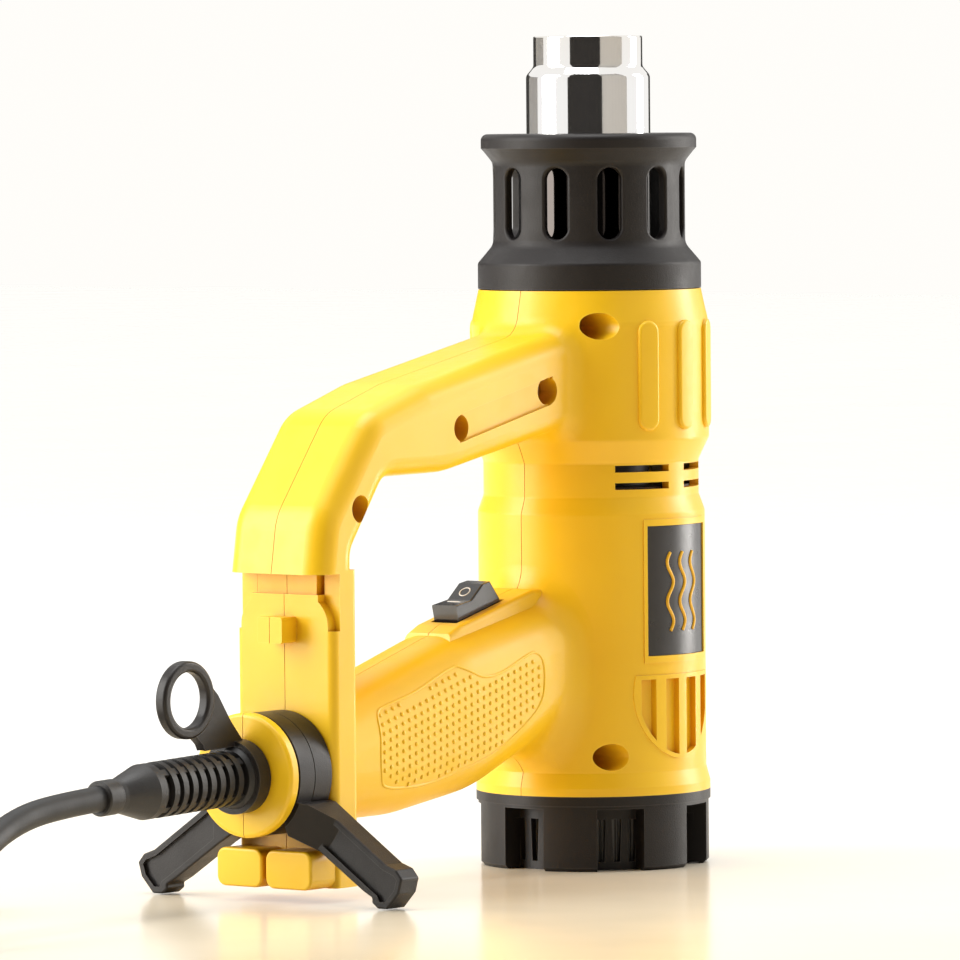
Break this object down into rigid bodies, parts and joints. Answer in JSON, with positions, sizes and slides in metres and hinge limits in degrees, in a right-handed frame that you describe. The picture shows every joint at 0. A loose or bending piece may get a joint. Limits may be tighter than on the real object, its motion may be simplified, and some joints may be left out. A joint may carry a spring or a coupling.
{
  "type": "heat gun",
  "caption": "Hand-held hot air gun with a closed handle loop, chrome nozzle, lift-off guard, rocker switch, folding stand legs, hanging loop and coiled mains lead.",
  "frame": {"origin": "on the barrel axis at the flat rear face, which stands on the bench", "axes": "+Z out of the nozzle along the barrel, -X towards the handle loop and lead, -Y the right-hand shell"},
  "size_m": [0.4573, 0.1366, 0.255],
  "materials": {
    "yellow_shell": "satin glass-filled moulding",
    "badge": "dark plain name plate",
    "screw_steel": "zinc plated",
    "nozzle_chrome": "polished, slight heat tint",
    "black_heatproof": "fine spark texture",
    "black_plastic": "fine spark texture",
    "dark_plastic": "plain moulding",
    "filter_mesh": "open mesh",
    "motor_steel": "zinc plated drawn can",
    "bush_brass": "sintered bronze",
    "magnet": "ferrite",
    "shaft_steel": "ground",
    "copper": "enamelled windings",
    "fan_plastic": "moulded",
    "rubber": "soft black",
    "mica": "pressed mica",
    "ceramic": "steatite ceramic",
    "heater_wire": "resistance wire",
    "probe_steel": "sheathed probe",
    "cutout": "thermal cutout",
    "rocker_gloss": "gloss black",
    "board_green": "solder mask",
    "loop_plastic": "satin grey",
    "lead_rubber": "rubber sheath",
    "wire_insulation": "silicone insulated",
    "plug_rubber": "moulded on",
    "pin_brass": "nickel-brass"
  },
  "bodies": {
    "body": {"right_shell": "yellow_shell", "left_shell": "yellow_shell", "right_badge": "badge", "left_badge": "badge", "housing_screws": "screw_steel", "nozzle": "nozzle_chrome", "rear_cap": "black_plastic", "intake_filter": "filter_mesh", "motor_can": "motor_steel", "motor_end_cap": "dark_plastic", "motor_bushes": "bush_brass", "motor_magnets": "magnet", "fan_shroud": "dark_plastic", "motor_ring": "rubber", "motor_mount": "dark_plastic", "heater_plate": "mica", "mica_sleeve": "mica", "heater_core": "ceramic", "heater_coils": "heater_wire", "temperature_probe": "probe_steel", "thermal_cutout": "cutout", "switch_body": "dark_plastic", "rocker_pin": "screw_steel", "circuit_board": "board_green", "board_parts": "dark_plastic", "leg_washer": "screw_steel", "strain_relief": "rubber", "hanging_loop": "loop_plastic", "inner_lead": "lead_rubber", "cord_saddle": "dark_plastic", "cord_clamp": "dark_plastic", "clamp_screws": "screw_steel", "supply_leads": "wire_insulation", "heater_leads": "wire_insulation", "board_leads": "wire_insulation", "lead_tube": "lead_rubber", "tail_tube": "lead_rubber", "lead_coil": "lead_rubber", "coil_tie": "rubber", "plug_body": "plug_rubber", "plug_pins": "pin_brass"},
    "rotor": {"motor_shaft": "shaft_steel", "armature": "copper", "fan": "fan_plastic"},
    "guard": {"nozzle_guard": "black_heatproof"},
    "right_stand_leg": {"right_leg": "black_plastic"},
    "left_stand_leg": {"left_leg": "black_plastic"},
    "rocker": {"switch_rocker": "rocker_gloss"}
  },
  "joints": [
    {"name": "guard_pull", "type": "slide", "parent": "body", "child": "guard", "axis": [0, 0, 1], "range_m": [0, 0.08]},
    {"name": "fan_spin", "type": "hinge", "parent": "body", "child": "rotor", "pos_m": [0, 0, 0.05], "axis": [0, 0, 1], "continuous": true},
    {"name": "switch_rock", "type": "hinge", "parent": "body", "child": "rocker", "pos_m": [-0.06071, 0, 0.07712], "axis": [0, 1, 0], "range_deg": [-12, 12]},
    {"name": "right_leg_fold", "type": "hinge", "parent": "body", "child": "right_stand_leg", "pos_m": [-0.157, 0, 0.0382], "axis": [-1, 0, 0], "range_deg": [0, 100]},
    {"name": "left_leg_fold", "type": "hinge", "parent": "body", "child": "left_stand_leg", "pos_m": [-0.157, 0, 0.0382], "axis": [1, 0, 0], "range_deg": [0, 100]}
  ]
}
